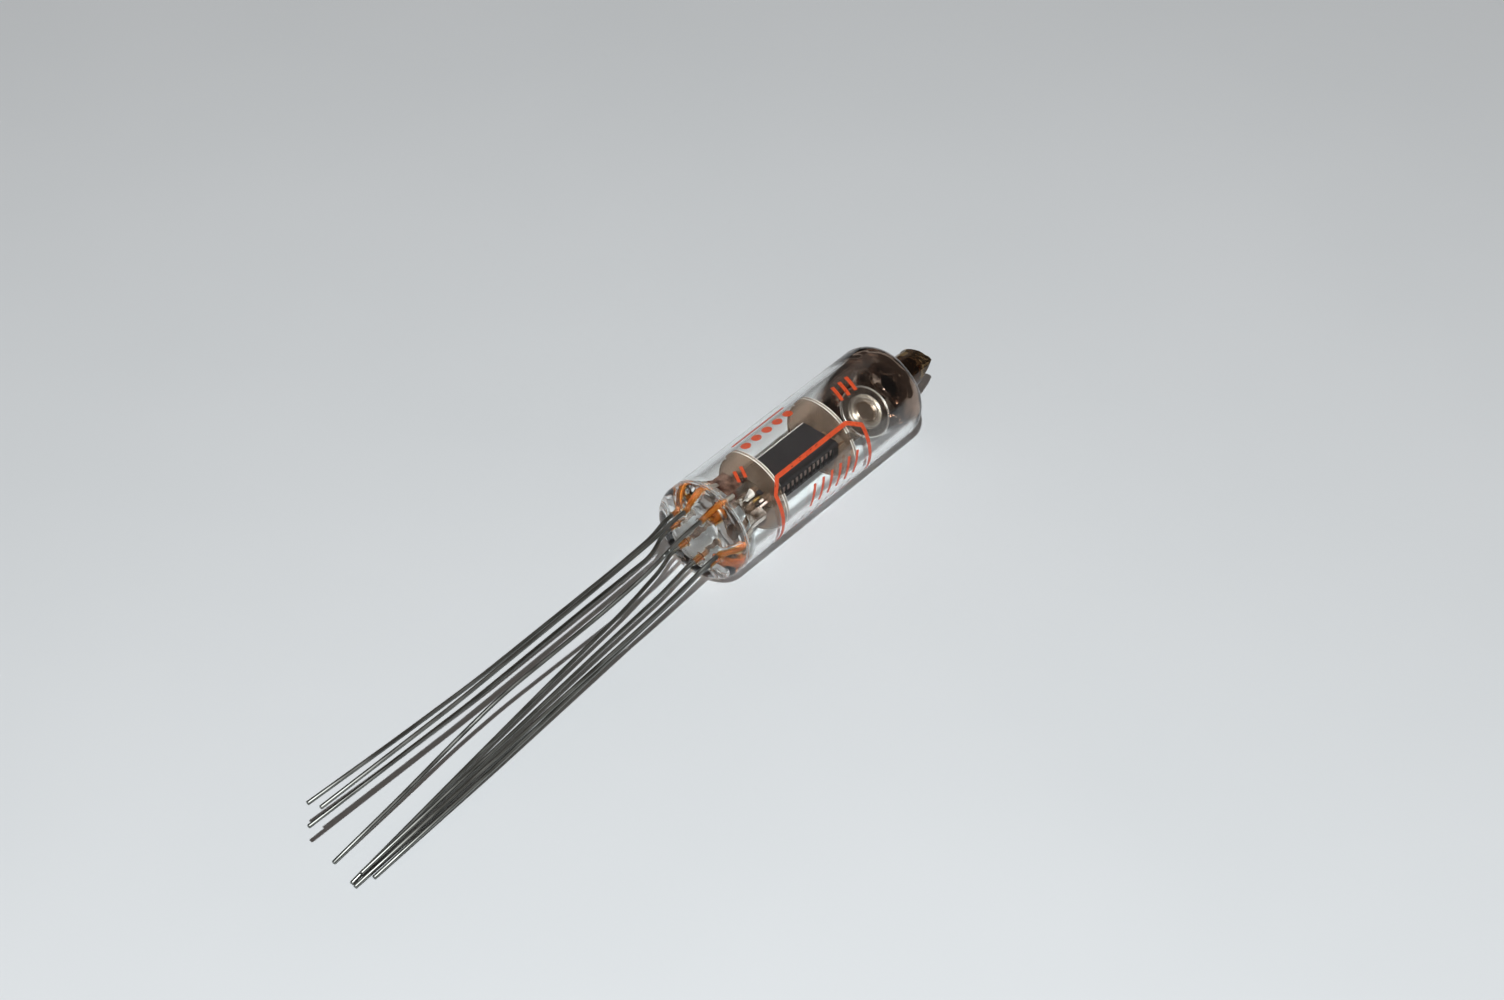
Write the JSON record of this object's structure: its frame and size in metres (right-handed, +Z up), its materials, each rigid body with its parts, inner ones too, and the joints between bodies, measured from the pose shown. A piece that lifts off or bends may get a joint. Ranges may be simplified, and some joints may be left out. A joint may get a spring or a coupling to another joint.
{
  "type": "subminiature vacuum tube",
  "caption": "Subminiature vacuum tube: a round glass bulb with electrodes between mica discs, a getter mirror in its dome, an exhaust tip and long flying leads from a flat pressed base.",
  "frame": {"origin": "on the axis of the bulb, half way along its straight wall", "axes": "+X along the bulb's axis from the base to the exhaust tip, +Z up with the tube lying on its side, -Y the side that faces the camera"},
  "size_m": [0.0816, 0.01, 0.01],
  "materials": {
    "bulb_glass": "clear polished soft glass",
    "stem_glass": "clear pressed glass with amber oxide round the wires",
    "tinned_wire": "dull grey tinned wire",
    "mica": "translucent brown mica sheet",
    "carbonised_nickel": "matt black carbon coat on nickel",
    "gilt_wire": "gold-plated molybdenum wire",
    "grid_wire": "bright nickel-alloy wire",
    "oxide_coating": "chalky white oxide coat on a nickel sleeve",
    "heater_coating": "chalky white alumina coat on tungsten wire",
    "nickel_ribbon": "bright annealed nickel ribbon",
    "nickel_sheet": "dull annealed nickel sheet",
    "getter_metal": "bright pressed nickel-plated iron",
    "getter_mirror": "dark barium mirror on glass"
  },
  "bodies": {
    "root": {"glass_bulb": "bulb_glass", "glass_stem": "stem_glass", "lead_1": "tinned_wire", "lead_2": "tinned_wire", "lead_3": "tinned_wire", "lead_4": "tinned_wire", "lead_5": "tinned_wire", "lead_6": "tinned_wire", "lead_7": "tinned_wire", "lead_8": "tinned_wire", "lower_mica": "mica", "upper_mica": "mica", "anode_top_half": "carbonised_nickel", "anode_bottom_half": "carbonised_nickel", "control_grid": "gilt_wire", "screen_grid": "grid_wire", "suppressor_grid": "grid_wire", "cathode_sleeve": "oxide_coating", "heater": "heater_coating", "ribbon_1": "nickel_ribbon", "ribbon_3": "nickel_ribbon", "ribbon_4": "nickel_ribbon", "ribbon_5": "nickel_ribbon", "ribbon_6": "nickel_ribbon", "ribbon_7": "nickel_ribbon", "ribbon_8": "nickel_ribbon", "lower_shield": "nickel_sheet", "getter_dish": "getter_metal", "getter_strap": "getter_metal", "getter_film": "getter_mirror"}
  },
  "joints": []
}
